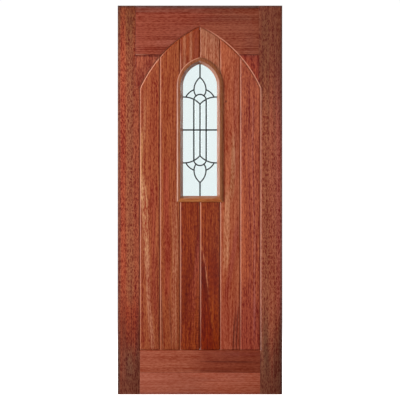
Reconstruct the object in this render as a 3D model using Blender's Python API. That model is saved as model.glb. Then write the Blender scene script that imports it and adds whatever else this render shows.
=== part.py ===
"""A boarded front door with a pointed-arch field and a leaded lancet window.

Lengths are in metres and +Z is up. The front of the door faces -Y. Every piece is
drawn in the door's own elevation, where x runs from the hinge edge, z from the foot
and y from the middle of the thickness. An empty carries them all, so that the world's
origin is the middle of the hinge edge.
"""

import math

import bmesh
import bpy
from mathutils import Vector
from mathutils.geometry import delaunay_2d_cdt

# Door leaf
DOOR_WIDTH = 0.838
DOOR_HEIGHT = 1.981
DOOR_THICKNESS = 0.044
STILE_WIDTH = 0.1125
TOP_RAIL_HEIGHT = 0.2495
BOTTOM_RAIL_HEIGHT = 0.2255
BOTTOM_RAIL_SEAM_HEIGHT = 0.111
BOARDS_EACH_SIDE = 3
JOINT_GAP = 0.0003

# V joints: the width of the bevel on each side of the joint
FIELD_BEVEL = 0.0055
RAIL_JOINT_BEVEL = 0.002

# Pointed arch over the boards, at the V joint's centre line
ARCH_APEX_BELOW_TOP = 0.107
ARCH_RISE = 0.315
ARCH_RADIUS = 0.630
HINGE_SHOULDER_OUTSIDE_FIELD = 0.022
LOCK_SHOULDER_INSIDE_FIELD = 0.006

# Lancet window, at the sight line where the glass disappears under the bead
WINDOW_SPRING_ABOVE_ARCH_SPRING = 0.0115
WINDOW_SIDE_HEIGHT = 0.559
WINDOW_RADIUS = 0.118
BOARD_HORN_WIDTH = 0.006

# Glazing beads, on both faces
BEAD_IN_OPENING = 0.0155
BEAD_LAP = 0.0165
BEAD_NOSE = 0.003
FRONT_BEAD_PROUD = 0.010
FRONT_BEAD_EDGE = 0.003
FRONT_BEAD_FLAT = 0.005
BACK_BEAD_PROUD = 0.006

# Leaded light
GLASS_THICKNESS = 0.005
CAME_DEPTH = 0.008
CAME_COVER = 0.010
CAME_BORDER_LEAF = 0.0065
CAME_HEART = 0.0016
CAME_STRAIGHT_WIDTH = 0.0065
CAME_CURVED_WIDTH = 0.0055

# Tulip in the leading: heights above the crossbar, and reaches from the centre line
SIDE_LINE_HEIGHT = 0.168
SWAG_REACH = 0.080
SWAG_DROP = 0.037
MULLION_REACH = 0.0315
CUP_HEIGHT = 0.1815
BUD_BASE_REACH = 0.020
BUD_REACH = 0.0306
BUD_WIDEST_HEIGHT = 0.205
BUD_TIP_HEIGHT = 0.268
PETAL_REACH = 0.072
PETAL_SLOPE = math.radians(20)

# Smoothness of the curves
ARCH_STEPS = 18
WINDOW_STEPS = 12
CURVE_STEPS = 6
MOULDING_STEPS = 4

# Space that a cutter runs past what it cuts
CUTTER_MARGIN = 0.01

# Positions worked out from the sizes above
MIDDLE = DOOR_WIDTH / 2
FACE = DOOR_THICKNESS / 2
FIELD_HALF_WIDTH = MIDDLE - STILE_WIDTH
BOARD_PITCH = FIELD_HALF_WIDTH / BOARDS_EACH_SIDE
RAIL_JOINT = DOOR_HEIGHT - TOP_RAIL_HEIGHT
ARCH_SPRING = DOOR_HEIGHT - ARCH_APEX_BELOW_TOP - ARCH_RISE
WINDOW_SPRING = ARCH_SPRING + WINDOW_SPRING_ABOVE_ARCH_SPRING
WINDOW_SILL = WINDOW_SPRING - WINDOW_SIDE_HEIGHT
SIGHT_HALF_WIDTH = BOARD_PITCH - BEAD_IN_OPENING

# Colours, as sRGB hex
FRAME_COLOURS = {
    "hinge_stile": "#97502F",
    "lock_stile": "#8A4A36",
    "top_rail": "#8B4430",
    "spandrel_left": "#9B4A33",
    "spandrel_right": "#883A28",
    "bottom_rail_upper_plank": "#864030",
    "bottom_rail_lower_plank": "#9A5039",
}
BOARD_COLOURS = ("#9E5134", "#964830", "#86361F", "#7E3218", "#A0523A", "#984A34")
SHORT_BOARD_COLOUR = "#A05A3F"
BEAD_COLOUR = "#B9774F"
LEAD_COLOUR = "#3C4A4B"
GLASS_COLOUR = "#E7F6F5"


def clear_scene():
    for item in list(bpy.data.objects):
        bpy.data.objects.remove(item, do_unlink=True)


def linear(channel):
    if channel <= 0.04045:
        return channel / 12.92
    return ((channel + 0.055) / 1.055) ** 2.4


def material(name, colour, roughness, metallic=0.0, transmission=0.0):
    made = bpy.data.materials.new(name)
    made.use_nodes = True
    shader = made.node_tree.nodes["Principled BSDF"]
    channels = [linear(int(colour[start:start + 2], 16) / 255) for start in (1, 3, 5)]
    shader.inputs["Base Color"].default_value = (*channels, 1.0)
    shader.inputs["Roughness"].default_value = roughness
    shader.inputs["Metallic"].default_value = metallic
    shader.inputs["Transmission Weight"].default_value = transmission
    return made


def title(name):
    return name.replace("_", " ").capitalize()


def wood(name, colour):
    return material(f"{title(name)} hardwood", colour, roughness=0.45)


def link(name, mesh, finish=None, parent=None):
    item = bpy.data.objects.new(name, mesh)
    bpy.context.scene.collection.objects.link(item)
    if finish:
        mesh.materials.append(finish)
    if parent:
        item.parent = parent
    return item


def loft(sections):
    """A closed mesh through equal outlines, with flat ends."""
    shape = bmesh.new()
    rings = [[shape.verts.new(point) for point in section] for section in sections]
    count = len(rings[0])
    for near, far in zip(rings, rings[1:]):
        for index in range(count):
            after = (index + 1) % count
            shape.faces.new((near[index], near[after], far[after], far[index]))
    shape.faces.new(rings[0])
    shape.faces.new(rings[-1])
    bmesh.ops.recalc_face_normals(shape, faces=shape.faces)
    mesh = bpy.data.meshes.new("solid")
    shape.to_mesh(mesh)
    shape.free()
    return mesh


def plate(levels):
    """A solid through the thickness: each level is a depth y and an (x, z) outline."""
    return loft([[(x, y, z) for x, z in outline] for y, outline in levels])


def slab(outline):
    """A square-edged solid of the door's whole thickness."""
    return plate([(-FACE, outline), (FACE, outline)])


def rectangle(left, right, low, high):
    return [(left, low), (left, high), (right, high), (right, low)]


def bevelled(outline_at, bevel, inset):
    """A solid of the door's thickness whose edges are bevelled at both faces."""
    return plate([
        (-FACE, outline_at(-bevel)),
        (-FACE + bevel, outline_at(-inset)),
        (FACE - bevel, outline_at(-inset)),
        (FACE, outline_at(-bevel)),
    ])


def bevel_cutter(outline_at, bevel, grow):
    """Cuts an opening through the door and bevels its edge at both faces."""
    outer = bevel + CUTTER_MARGIN
    return plate([
        (-FACE - CUTTER_MARGIN, outline_at(outer)),
        (-FACE + bevel, outline_at(grow)),
        (FACE - bevel, outline_at(grow)),
        (FACE + CUTTER_MARGIN, outline_at(outer)),
    ])


def helper(name, mesh, parent):
    """A cutter or a shape to cut to, which is no part of the door."""
    item = link(name, mesh, parent=parent)
    item.hide_render = True
    item.display_type = "WIRE"
    return item


def boolean(piece, other, operation):
    modifier = piece.modifiers.new(f"{operation.title()} {other.name}", "BOOLEAN")
    modifier.operation = operation
    modifier.solver = "EXACT"
    modifier.object = other


def pointed_outline(half_width, foot, spring, centre, radius, steps):
    """Up the left side, over the pointed head and down the right side.

    centre is the left arc's centre, from the middle of the springing line.
    """
    across, up = centre
    side_rise = math.sqrt(max(0.0, radius ** 2 - (half_width + across) ** 2))
    apex_rise = math.sqrt(radius ** 2 - across ** 2)
    start = math.atan2(side_rise, -half_width - across)
    end = math.atan2(apex_rise, -across)
    left = [(-half_width, foot)]
    for step in range(steps + 1):
        angle = start + (end - start) * step / steps
        x = across + radius * math.cos(angle)
        left.append((x, spring + up + radius * math.sin(angle)))
    left[-1] = (0.0, left[-1][1])
    right = [(-x, z) for x, z in reversed(left[:-1])]
    return [(MIDDLE + x, z) for x, z in left + right]


def arch_centre():
    """Centre of the left arc through the springing and the apex."""
    chord = math.hypot(FIELD_HALF_WIDTH, ARCH_RISE)
    reach = math.sqrt(ARCH_RADIUS ** 2 - chord ** 2 / 4)
    across = -FIELD_HALF_WIDTH / 2 + reach * ARCH_RISE / chord
    up = ARCH_RISE / 2 - reach * FIELD_HALF_WIDTH / chord
    return across, up


def field_outline(grow):
    """The edge of the boarded field, moved outwards by grow."""
    return pointed_outline(
        FIELD_HALF_WIDTH + grow,
        BOTTOM_RAIL_HEIGHT - grow,
        ARCH_SPRING,
        arch_centre(),
        ARCH_RADIUS + grow,
        ARCH_STEPS,
    )


def window_outline(grow):
    """The window's sight line, moved outwards by grow."""
    return pointed_outline(
        SIGHT_HALF_WIDTH + grow,
        WINDOW_SILL - grow,
        WINDOW_SPRING,
        (WINDOW_RADIUS - SIGHT_HALF_WIDTH, 0.0),
        WINDOW_RADIUS + grow,
        WINDOW_STEPS,
    )


def joint_cutter(height, bevel):
    """Two bars of diamond section that cut a V joint across both faces."""
    sections = []
    for x in (-CUTTER_MARGIN, DOOR_WIDTH + CUTTER_MARGIN):
        sections.append([
            (x, -FACE - bevel, height),
            (x, -FACE, height + bevel),
            (x, -FACE + bevel, height),
            (x, -FACE, height - bevel),
        ])
    front = loft(sections)
    back = loft([[(x, y + DOOR_THICKNESS, z) for x, y, z in ring] for ring in sections])
    return front, back


def frame_outlines():
    """Each piece round the boards, square-edged and running on over the boards."""
    gap = JOINT_GAP / 2
    lock_inner = DOOR_WIDTH - STILE_WIDTH
    hinge_shoulder = STILE_WIDTH - HINGE_SHOULDER_OUTSIDE_FIELD
    lock_shoulder = lock_inner - LOCK_SHOULDER_INSIDE_FIELD
    head_left, head_right = hinge_shoulder + gap, lock_shoulder - gap
    foot_left, foot_right = STILE_WIDTH + gap, lock_inner - gap
    spandrel_foot, spandrel_head = ARCH_SPRING + gap, RAIL_JOINT - gap
    seam = BOTTOM_RAIL_SEAM_HEIGHT
    return {
        "hinge_stile": [
            (0, 0),
            (0, DOOR_HEIGHT),
            (hinge_shoulder - gap, DOOR_HEIGHT),
            (hinge_shoulder - gap, ARCH_SPRING - gap),
            (STILE_WIDTH - gap, ARCH_SPRING - gap),
            (STILE_WIDTH - gap, 0),
        ],
        "lock_stile": [
            (DOOR_WIDTH, 0),
            (DOOR_WIDTH, DOOR_HEIGHT),
            (lock_shoulder + gap, DOOR_HEIGHT),
            (lock_shoulder + gap, BOTTOM_RAIL_HEIGHT),
            (lock_inner + gap, BOTTOM_RAIL_HEIGHT),
            (lock_inner + gap, 0),
        ],
        "top_rail": rectangle(head_left, head_right, RAIL_JOINT + gap, DOOR_HEIGHT),
        "spandrel_left": rectangle(head_left, MIDDLE, spandrel_foot, spandrel_head),
        "spandrel_right": rectangle(MIDDLE, head_right, spandrel_foot, spandrel_head),
        "bottom_rail_upper_plank": rectangle(foot_left, foot_right, seam + gap, BOTTOM_RAIL_HEIGHT),
        "bottom_rail_lower_plank": rectangle(foot_left, foot_right, 0, seam - gap),
    }


def make_frame(leaf):
    """Stiles, top rail, spandrels and the two planks of the bottom rail."""
    field = helper("field_cutter", bevel_cutter(field_outline, FIELD_BEVEL, JOINT_GAP / 2), leaf)
    frame = {}
    for name, outline in frame_outlines().items():
        frame[name] = link(name, slab(outline), wood(name, FRAME_COLOURS[name]), leaf)
        boolean(frame[name], field, "DIFFERENCE")
    for side, mesh in zip(("front", "back"), joint_cutter(RAIL_JOINT, RAIL_JOINT_BEVEL)):
        cutter = helper(f"{side}_joint_cutter", mesh, leaf)
        for name in ("top_rail", "spandrel_left", "spandrel_right"):
            boolean(frame[name], cutter, "DIFFERENCE")


def board_strip(number, low, high):
    """One board before it is cut to the field, with bevelled long edges."""
    left = MIDDLE - FIELD_HALF_WIDTH + (number - 1) * BOARD_PITCH
    right = left + BOARD_PITCH
    if number == 1:
        left -= CUTTER_MARGIN
    if number == 2 * BOARDS_EACH_SIDE:
        right += CUTTER_MARGIN
    return bevelled(
        lambda grow: rectangle(left - grow, right + grow, low, high),
        FIELD_BEVEL,
        JOINT_GAP / 2,
    )


def make_boards(leaf):
    """The V-jointed boards: the middle two stop below and above the window."""
    field = helper("field_body", bevelled(field_outline, FIELD_BEVEL, JOINT_GAP / 2), leaf)
    hole = window_outline(BEAD_IN_OPENING)
    window = helper(
        "window_cutter",
        plate([(-FACE - CUTTER_MARGIN, hole), (FACE + CUTTER_MARGIN, hole)]),
        leaf,
    )
    foot = BOTTOM_RAIL_HEIGHT - CUTTER_MARGIN
    below_window = WINDOW_SILL - BEAD_IN_OPENING - JOINT_GAP
    hole_radius = WINDOW_RADIUS + BEAD_IN_OPENING
    horn_rise = math.sqrt(hole_radius ** 2 - (hole_radius - BOARD_HORN_WIDTH) ** 2)
    above_window = WINDOW_SPRING + horn_rise

    def add(name, number, low, high, colour):
        board = link(name, board_strip(number, low, high), wood(name, colour), leaf)
        boolean(board, field, "INTERSECT")
        return board

    for number in range(1, 2 * BOARDS_EACH_SIDE + 1):
        name = f"board_{number}"
        colour = BOARD_COLOURS[(number - 1) % len(BOARD_COLOURS)]
        if number in (BOARDS_EACH_SIDE, BOARDS_EACH_SIDE + 1):
            add(f"{name}_below_window", number, foot, below_window, colour)
            short = add(f"{name}_above_window", number, above_window, DOOR_HEIGHT, SHORT_BOARD_COLOUR)
            boolean(short, window, "DIFFERENCE")
        else:
            add(name, number, foot, DOOR_HEIGHT, colour)


def moulding_arc(start, end):
    """Quarter of an ellipse from start, where it is upright, to end, where it is level."""
    points = []
    for step in range(1, MOULDING_STEPS + 1):
        angle = math.pi / 2 * step / MOULDING_STEPS
        across = start[0] + (end[0] - start[0]) * (1 - math.cos(angle))
        points.append((across, start[1] + (end[1] - start[1]) * math.sin(angle)))
    return points


def bead_stem():
    """The corners that every bead shares: the lap on the board and the stem in the opening."""
    depth = FACE - CAME_DEPTH / 2 - JOINT_GAP
    inner = BEAD_IN_OPENING - JOINT_GAP
    outer = BEAD_IN_OPENING + BEAD_LAP
    return [(0.0, -depth), (inner, -depth), (inner, JOINT_GAP), (outer, JOINT_GAP)]


def front_bead_profile():
    """Distance outside the sight line, and height above the door's face."""
    outer = BEAD_IN_OPENING + BEAD_LAP
    crest = FRONT_BEAD_PROUD
    flat_outer = BEAD_IN_OPENING + FRONT_BEAD_FLAT
    stem = bead_stem()
    nose = stem[0][1] + BEAD_NOSE
    points = stem + [(outer, FRONT_BEAD_EDGE)]
    points += moulding_arc((outer, FRONT_BEAD_EDGE), (flat_outer, crest))
    points.append((BEAD_IN_OPENING, crest))
    points.append((0.0, nose))
    return points


def back_bead_profile():
    outer = BEAD_IN_OPENING + BEAD_LAP
    stem = bead_stem()
    nose = stem[0][1] + BEAD_NOSE
    return stem + [(outer, BACK_BEAD_PROUD), (BEAD_IN_OPENING, BACK_BEAD_PROUD), (0.0, nose)]


def bead_piece(profile, first, last, side):
    """One length of bead between two corners of the window's outline."""
    rings = {distance: window_outline(distance) for distance, _ in profile}
    sections = []
    for index in range(first, last + 1):
        section = []
        for distance, height in profile:
            x, z = rings[distance][index % len(rings[distance])]
            section.append(Vector((x, side * (FACE + height), z)))
        sections.append(section)
    sections[0], sections[-1] = (
        shortened(sections[0], sections[1]),
        shortened(sections[-1], sections[-2]),
    )
    return loft(sections)


def shortened(end, inner):
    """The end section, moved towards its neighbour by the joint gap."""
    step = JOINT_GAP / min((b - a).length for a, b in zip(end, inner))
    return [a.lerp(b, step) for a, b in zip(end, inner)]


def make_beads(leaf):
    spring_left = 1
    apex = spring_left + WINDOW_STEPS
    spring_right = apex + WINDOW_STEPS
    foot_right = spring_right + 1
    runs = {
        "left": (0, spring_left),
        "arch_left": (spring_left, apex),
        "arch_right": (apex, spring_right),
        "right": (spring_right, foot_right),
        "sill": (foot_right, foot_right + 1),
    }
    faces = (("front", front_bead_profile(), -1), ("back", back_bead_profile(), 1))
    for face, profile, side in faces:
        for name, (first, last) in runs.items():
            bead = f"{face}_bead_{name}"
            link(bead, bead_piece(profile, first, last, side), wood(bead, BEAD_COLOUR), leaf)


def arc_leaving(start, heading, end):
    """Points of the arc that leaves start along heading, an angle, and reaches end."""
    start, end = Vector(start), Vector(end)
    chord = end - start
    turn = math.atan2(chord.y, chord.x) - heading
    turn = math.atan2(math.sin(turn), math.cos(turn))
    radius = chord.length / 2 / math.sin(turn)
    normal = Vector((-math.sin(heading), math.cos(heading)))
    centre = start + normal * radius
    points = []
    for step in range(CURVE_STEPS + 1):
        angle = heading - math.pi / 2 + 2 * turn * step / CURVE_STEPS
        points.append(centre + Vector((math.cos(angle), math.sin(angle))) * radius)
    return points


def height_on_circle(top, radius, reach):
    """Height, at this reach, of a circle whose highest point is on the centre line."""
    return top - radius + math.sqrt(radius ** 2 - reach ** 2)


def swag_radius():
    return (SWAG_REACH ** 2 + SWAG_DROP ** 2) / (2 * SWAG_DROP)


def mullion_height():
    """Where the outer upright meets the swag."""
    return height_on_circle(SIDE_LINE_HEIGHT, swag_radius(), SWAG_REACH - MULLION_REACH)


def light_heights():
    """The light's top and foot under the bead, from the crossbar at its middle."""
    apex = window_outline(0)[1 + WINDOW_STEPS][1]
    crossbar = (apex + WINDOW_SILL) / 2
    return apex - crossbar, crossbar


def came_lines():
    """Centre lines of the leading, from the crossbar, each with its width."""
    border = CAME_COVER - CAME_HEART / 2
    reach = SIGHT_HALF_WIDTH + border
    edge_height = light_heights()[0] + border
    valley = SIDE_LINE_HEIGHT - SWAG_DROP
    joint = mullion_height()
    cup_drop = CUP_HEIGHT - joint
    cup_radius = (MULLION_REACH ** 2 + cup_drop ** 2) / (2 * cup_drop)
    bud_base = (BUD_BASE_REACH, height_on_circle(CUP_HEIGHT, cup_radius, BUD_BASE_REACH))
    bud_side = (BUD_REACH, BUD_WIDEST_HEIGHT)
    bud_tip = (0.0, BUD_TIP_HEIGHT)
    upright = math.pi / 2

    swag = [Vector((reach, SIDE_LINE_HEIGHT))]
    swag += arc_leaving((SWAG_REACH, SIDE_LINE_HEIGHT), math.pi, (0.0, valley))
    bud = arc_leaving(bud_side, -upright, bud_base)[:0:-1]
    bud += arc_leaving(bud_side, upright, bud_tip)
    petal = arc_leaving(bud_side, -PETAL_SLOPE, (PETAL_REACH, SIDE_LINE_HEIGHT))
    cup_half = arc_leaving((0.0, CUP_HEIGHT), 0.0, (MULLION_REACH, joint))
    cup = [Vector((-point.x, point.y)) for point in cup_half[:0:-1]] + cup_half
    mullion = [Vector((MULLION_REACH, 0.0)), Vector((MULLION_REACH, joint))]
    finial = [Vector(bud_tip), Vector((0.0, edge_height))]

    lines = [
        ([Vector((-reach, 0.0)), Vector((reach, 0.0))], CAME_STRAIGHT_WIDTH),
        ([Vector((0.0, -valley)), Vector((0.0, valley))], CAME_STRAIGHT_WIDTH),
    ]
    for up in (1, -1):
        lines.append((mirrored(finial, 1, up), CAME_STRAIGHT_WIDTH))
        lines.append((mirrored(cup, 1, up), CAME_CURVED_WIDTH))
        for across in (1, -1):
            lines.append((mirrored(mullion, across, up), CAME_STRAIGHT_WIDTH))
            for curve in (swag, bud, petal):
                lines.append((mirrored(curve, across, up), CAME_CURVED_WIDTH))
    return lines


def mirrored(points, across, up):
    return [Vector((across * point.x, up * point.y)) for point in points]


def ribbon(points, width):
    """Outline of a strip of this width along a centre line."""
    left, right = [], []
    for index, point in enumerate(points):
        before = points[max(index - 1, 0)]
        after = points[min(index + 1, len(points) - 1)]
        along = (after - before).normalized()
        aside = Vector((-along.y, along.x)) * width / 2
        left.append(point + aside)
        right.append(point - aside)
    return left + right[::-1]


def light_outline(grow):
    """The window's outline in the leading's own elevation."""
    crossbar = light_heights()[1]
    return [Vector((x - MIDDLE, z - crossbar)) for x, z in window_outline(grow)]


def split_plane(outlines):
    """Triangles between the clockwise outlines, each with the set of outlines it is inside."""
    points, faces = [], []
    for outline in outlines:
        faces.append(list(range(len(points), len(points) + len(outline))))
        points += reversed(outline)
    corners, _, triangles, _, _, inside = delaunay_2d_cdt(points, [], faces, 0, 1e-7)
    return corners, [(tuple(triangle), set(found)) for triangle, found in zip(triangles, inside)]


def edge_owners(triangles):
    """Each edge of the triangles, by its end points in order, with the triangle on that side."""
    owners = {}
    for number, (a, b, c) in enumerate(triangles):
        owners[(a, b)] = owners[(b, c)] = owners[(c, a)] = number
    return owners


def place_in_light(corner, y):
    return (MIDDLE + corner.x, y, light_heights()[1] + corner.y)


def make_came(leaf):
    """The lead lattice: an I section, a thin heart between front and back leaves."""
    lines = came_lines()
    leaves = [ribbon(points, width) for points, width in lines]
    hearts = [ribbon(points, CAME_HEART) for points, _ in lines]
    outer = light_outline(CAME_COVER)
    leaf_edge = light_outline(CAME_COVER - CAME_BORDER_LEAF)
    heart_edge = light_outline(CAME_COVER - CAME_HEART)
    corners, cells = split_plane([outer, leaf_edge, heart_edge] + leaves + hearts)
    first_heart = 3 + len(leaves)
    kinds = []
    for _, inside in cells:
        if 2 not in inside or any(number >= first_heart for number in inside):
            kinds.append("heart")
        elif 1 not in inside or any(number > 2 for number in inside):
            kinds.append("leaf")
        else:
            kinds.append("glass")

    glass_face = GLASS_THICKNESS / 2 + JOINT_GAP
    levels = (-CAME_DEPTH / 2, -glass_face, glass_face, CAME_DEPTH / 2)
    shape = bmesh.new()
    made = {}

    def vertex(corner, level):
        if (corner, level) not in made:
            made[corner, level] = shape.verts.new(place_in_light(corners[corner], levels[level]))
        return made[corner, level]

    def wall(a, b, low, high):
        shape.faces.new((vertex(a, low), vertex(b, low), vertex(b, high), vertex(a, high)))

    triangles = [triangle for triangle, _ in cells]
    owners = edge_owners(triangles)
    for number, triangle in enumerate(triangles):
        if kinds[number] == "glass":
            continue
        caps = (0, 3) if kinds[number] == "heart" else (0, 1, 2, 3)
        for level in caps:
            shape.faces.new([vertex(corner, level) for corner in triangle])
        for a, b in zip(triangle, triangle[1:] + triangle[:1]):
            beyond = owners.get((b, a))
            other = "glass" if beyond is None else kinds[beyond]
            if kinds[number] == "heart" and other == "leaf":
                wall(a, b, 1, 2)
            elif kinds[number] == "heart" and other == "glass":
                wall(a, b, 0, 3)
            elif kinds[number] == "leaf" and other == "glass":
                wall(a, b, 0, 1)
                wall(a, b, 2, 3)
    bmesh.ops.recalc_face_normals(shape, faces=shape.faces)
    mesh = bpy.data.meshes.new("came")
    shape.to_mesh(mesh)
    shape.free()
    lead = material("Lead came", LEAD_COLOUR, roughness=0.5, metallic=0.6)
    link("lead_came", mesh, lead, leaf)


def glass_seeds():
    """A point inside each piece of glass, from the crossbar."""
    between = (MULLION_REACH + SIGHT_HALF_WIDTH) / 2
    pane = SIDE_LINE_HEIGHT / 3
    lanes = (-between, -MULLION_REACH / 2, MULLION_REACH / 2, between)
    petal = ((BUD_REACH + PETAL_REACH) / 2, (SIDE_LINE_HEIGHT + BUD_WIDEST_HEIGHT) / 2)
    cup = (CUP_HEIGHT + SIDE_LINE_HEIGHT - SWAG_DROP) / 2
    seeds = {}
    for name, up in (("upper", 1), ("lower", -1)):
        seeds[f"glass_{name}_cup"] = (0.0, up * cup)
        seeds[f"glass_{name}_bud"] = (0.0, up * BUD_WIDEST_HEIGHT)
        for side, across in (("left", -1), ("right", 1)):
            seeds[f"glass_{name}_petal_{side}"] = (across * petal[0], up * petal[1])
            seeds[f"glass_{name}_corner_{side}"] = (across * BUD_REACH, up * BUD_TIP_HEIGHT)
        for number, lane in enumerate(lanes, start=1):
            seeds[f"glass_{name}_pane_{number}"] = (lane, up * pane)
    return seeds


def triangle_holds(corners, triangle, point):
    """Whether the point is inside the triangle, whose corners run anticlockwise."""
    a, b, c = (corners[number] for number in triangle)
    return all((q - p).cross(point - p) >= 0 for p, q in ((a, b), (b, c), (c, a)))


def connected(start, triangles, owners, allowed):
    """The triangles that join start's edge to edge, staying on the allowed ones."""
    found, queue = {start}, [start]
    while queue:
        triangle = triangles[queue.pop()]
        for a, b in zip(triangle, triangle[1:] + triangle[:1]):
            beyond = owners.get((b, a))
            if beyond in allowed and beyond not in found:
                found.add(beyond)
                queue.append(beyond)
    return found


def glass_piece(corners, chosen):
    """A sheet of glass over the chosen triangles."""
    shape = bmesh.new()
    made = {}

    def vertex(corner, y):
        if (corner, y) not in made:
            made[corner, y] = shape.verts.new(place_in_light(corners[corner], y))
        return made[corner, y]

    front, back = -GLASS_THICKNESS / 2, GLASS_THICKNESS / 2
    owners = edge_owners(chosen)
    for triangle in chosen:
        for y in (front, back):
            shape.faces.new([vertex(corner, y) for corner in triangle])
        for a, b in zip(triangle, triangle[1:] + triangle[:1]):
            if (b, a) not in owners:
                shape.faces.new((vertex(a, front), vertex(b, front), vertex(b, back), vertex(a, back)))
    bmesh.ops.recalc_face_normals(shape, faces=shape.faces)
    mesh = bpy.data.meshes.new("glass")
    shape.to_mesh(mesh)
    shape.free()
    return mesh


def make_glass(leaf):
    """The pieces that the lattice divides the light into, each in its channel."""
    rim = light_outline(CAME_COVER - CAME_HEART - JOINT_GAP)
    hearts = [ribbon(points, CAME_HEART + 2 * JOINT_GAP) for points, _ in came_lines()]
    corners, cells = split_plane([rim] + hearts)
    triangles = [triangle for triangle, _ in cells]
    open_cells = {number for number, (_, inside) in enumerate(cells) if inside == {0}}
    owners = edge_owners(triangles)
    for name, seed in glass_seeds().items():
        point = Vector(seed)
        start = next(n for n in open_cells if triangle_holds(corners, triangles[n], point))
        chosen = [triangles[n] for n in sorted(connected(start, triangles, owners, open_cells))]
        finish = material(title(name), GLASS_COLOUR, roughness=0.1, transmission=1.0)
        link(name, glass_piece(corners, chosen), finish, leaf)


def main():
    clear_scene()
    leaf = bpy.data.objects.new("door_leaf", None)
    bpy.context.scene.collection.objects.link(leaf)
    leaf.location = (0.0, 0.0, -DOOR_HEIGHT / 2)
    make_frame(leaf)
    make_boards(leaf)
    make_beads(leaf)
    make_came(leaf)
    make_glass(leaf)


main()
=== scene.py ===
"""A hardwood front door with a leaded lancet window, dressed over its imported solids.

Lengths are in metres and +Z is up. The front of the door faces -Y, its hinge edge is at
x = 0 and the middle of its height is at z = 0.
"""

import logging
import math
from collections.abc import Callable, Iterator
from contextlib import contextmanager
from dataclasses import dataclass
from enum import Enum
from typing import Any, ClassVar

import bpy
from bpy.types import Material, Node, NodeSocket, NodeTree, Object
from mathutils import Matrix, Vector

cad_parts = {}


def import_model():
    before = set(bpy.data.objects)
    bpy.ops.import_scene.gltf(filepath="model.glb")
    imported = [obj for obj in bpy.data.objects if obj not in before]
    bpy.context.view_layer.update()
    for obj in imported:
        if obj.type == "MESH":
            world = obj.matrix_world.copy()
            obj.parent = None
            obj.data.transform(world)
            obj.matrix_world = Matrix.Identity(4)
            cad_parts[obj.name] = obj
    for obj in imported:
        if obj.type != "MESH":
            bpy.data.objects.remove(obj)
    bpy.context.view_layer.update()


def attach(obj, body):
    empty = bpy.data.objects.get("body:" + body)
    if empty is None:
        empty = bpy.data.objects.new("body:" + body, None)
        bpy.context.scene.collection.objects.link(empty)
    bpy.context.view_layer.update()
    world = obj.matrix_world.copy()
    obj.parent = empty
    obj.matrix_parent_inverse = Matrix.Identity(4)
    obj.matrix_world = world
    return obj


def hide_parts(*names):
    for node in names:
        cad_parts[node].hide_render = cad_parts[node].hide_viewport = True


log = logging.getLogger("front_door")

Colour = tuple[float, float, float, float]
Place = tuple[float, float, float]
Point = tuple[float, float]
# What a node's input takes: a value, an output, or a node whose first output is meant
Feed = Any
# What a smooth ramp runs along, where it starts and ends, and its value at each
Ramp = tuple[Feed, float, float, float, float]
# How often a layer of grain changes in a metre across it and along it, and its finer detail
Layer = tuple[float, float, float]

BODY = "root"
# The door's centre line, half its height and half its thickness
MIDDLE = 0.419
HALF_HEIGHT = 0.9905
HALF_THICKNESS = 0.022
# A point this close to a plane counts as on it
NEARLY = 0.00001


class Grain(Enum):
    """The way a piece of wood's grain runs."""

    UPRIGHT = "upright"
    LEVEL = "level"


class Figure(Enum):
    """The figure on a plank's face."""

    STRAIGHT = "straight"
    MOTTLED = "mottled"
    FLAME = "flame"


class Face(Enum):
    """A face of the door, by the sign of its y."""

    FRONT = -1
    BACK = 1


def linear_colour(code: str) -> Colour:
    """Turns an sRGB hex colour to linear.

    Args:
        code: The colour, such as "#97502F".

    Returns:
        The linear red, green and blue, and an alpha of 1.
    """
    channels = [int(code[start:start + 2], 16) / 255 for start in (1, 3, 5)]
    values = [c / 12.92 if c <= 0.04045 else ((c + 0.055) / 1.055) ** 2.4 for c in channels]
    return (values[0], values[1], values[2], 1.0)


def feed(node: Node, feeds: dict[int | str, Feed]) -> None:
    """Sets or links a node's inputs.

    Args:
        node: The node.
        feeds: What each input takes, by its name or number.
    """
    for key, value in feeds.items():
        source = value.outputs[0] if isinstance(value, Node) else value
        if isinstance(source, NodeSocket):
            node.id_data.links.new(source, node.inputs[key])
        else:
            node.inputs[key].default_value = source


def add_node(tree: NodeTree, kind: str, feeds: dict[int | str, Feed] | None = None,
             **settings: Any) -> Node:
    """Adds a shader node with its settings, and feeds its inputs.

    Args:
        tree: The node tree that takes the node.
        kind: Blender's name for the kind of node, without its "ShaderNode".
        feeds: What each input takes, by its name or number.
        settings: The node's own options.

    Returns:
        The new node.
    """
    node = tree.nodes.new(f"ShaderNode{kind}")
    for name, value in settings.items():
        setattr(node, name, value)
    feed(node, feeds or {})
    return node


def ramped(tree: NodeTree, weight: Feed, *ramps: Ramp) -> Node:
    """Multiplies a weight by smooth ramps.

    Args:
        tree: The material's nodes.
        weight: The weight to start from.
        ramps: The ramps, one or more.

    Returns:
        The product.
    """
    for along, start, end, first, last in ramps:
        ramp = add_node(tree, "MapRange", {0: along, 1: start, 2: end, 3: first, 4: last},
                        interpolation_type="SMOOTHSTEP")
        weight = add_node(tree, "Math", {0: weight, 1: ramp}, operation="MULTIPLY")
    return weight


def new_material(name: str) -> tuple[Material, NodeTree, Node]:
    """Makes a material.

    Args:
        name: The material's name.

    Returns:
        The material, its nodes and its Principled shader.
    """
    material = bpy.data.materials.new(name)
    material.use_nodes = True
    return material, material.node_tree, material.node_tree.nodes["Principled BSDF"]


def select_only(piece: Object) -> None:
    """Selects one object and makes it the active one.

    Args:
        piece: The object.
    """
    bpy.ops.object.select_all(action="DESELECT")
    piece.select_set(True)
    bpy.context.view_layer.objects.active = piece


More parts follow.
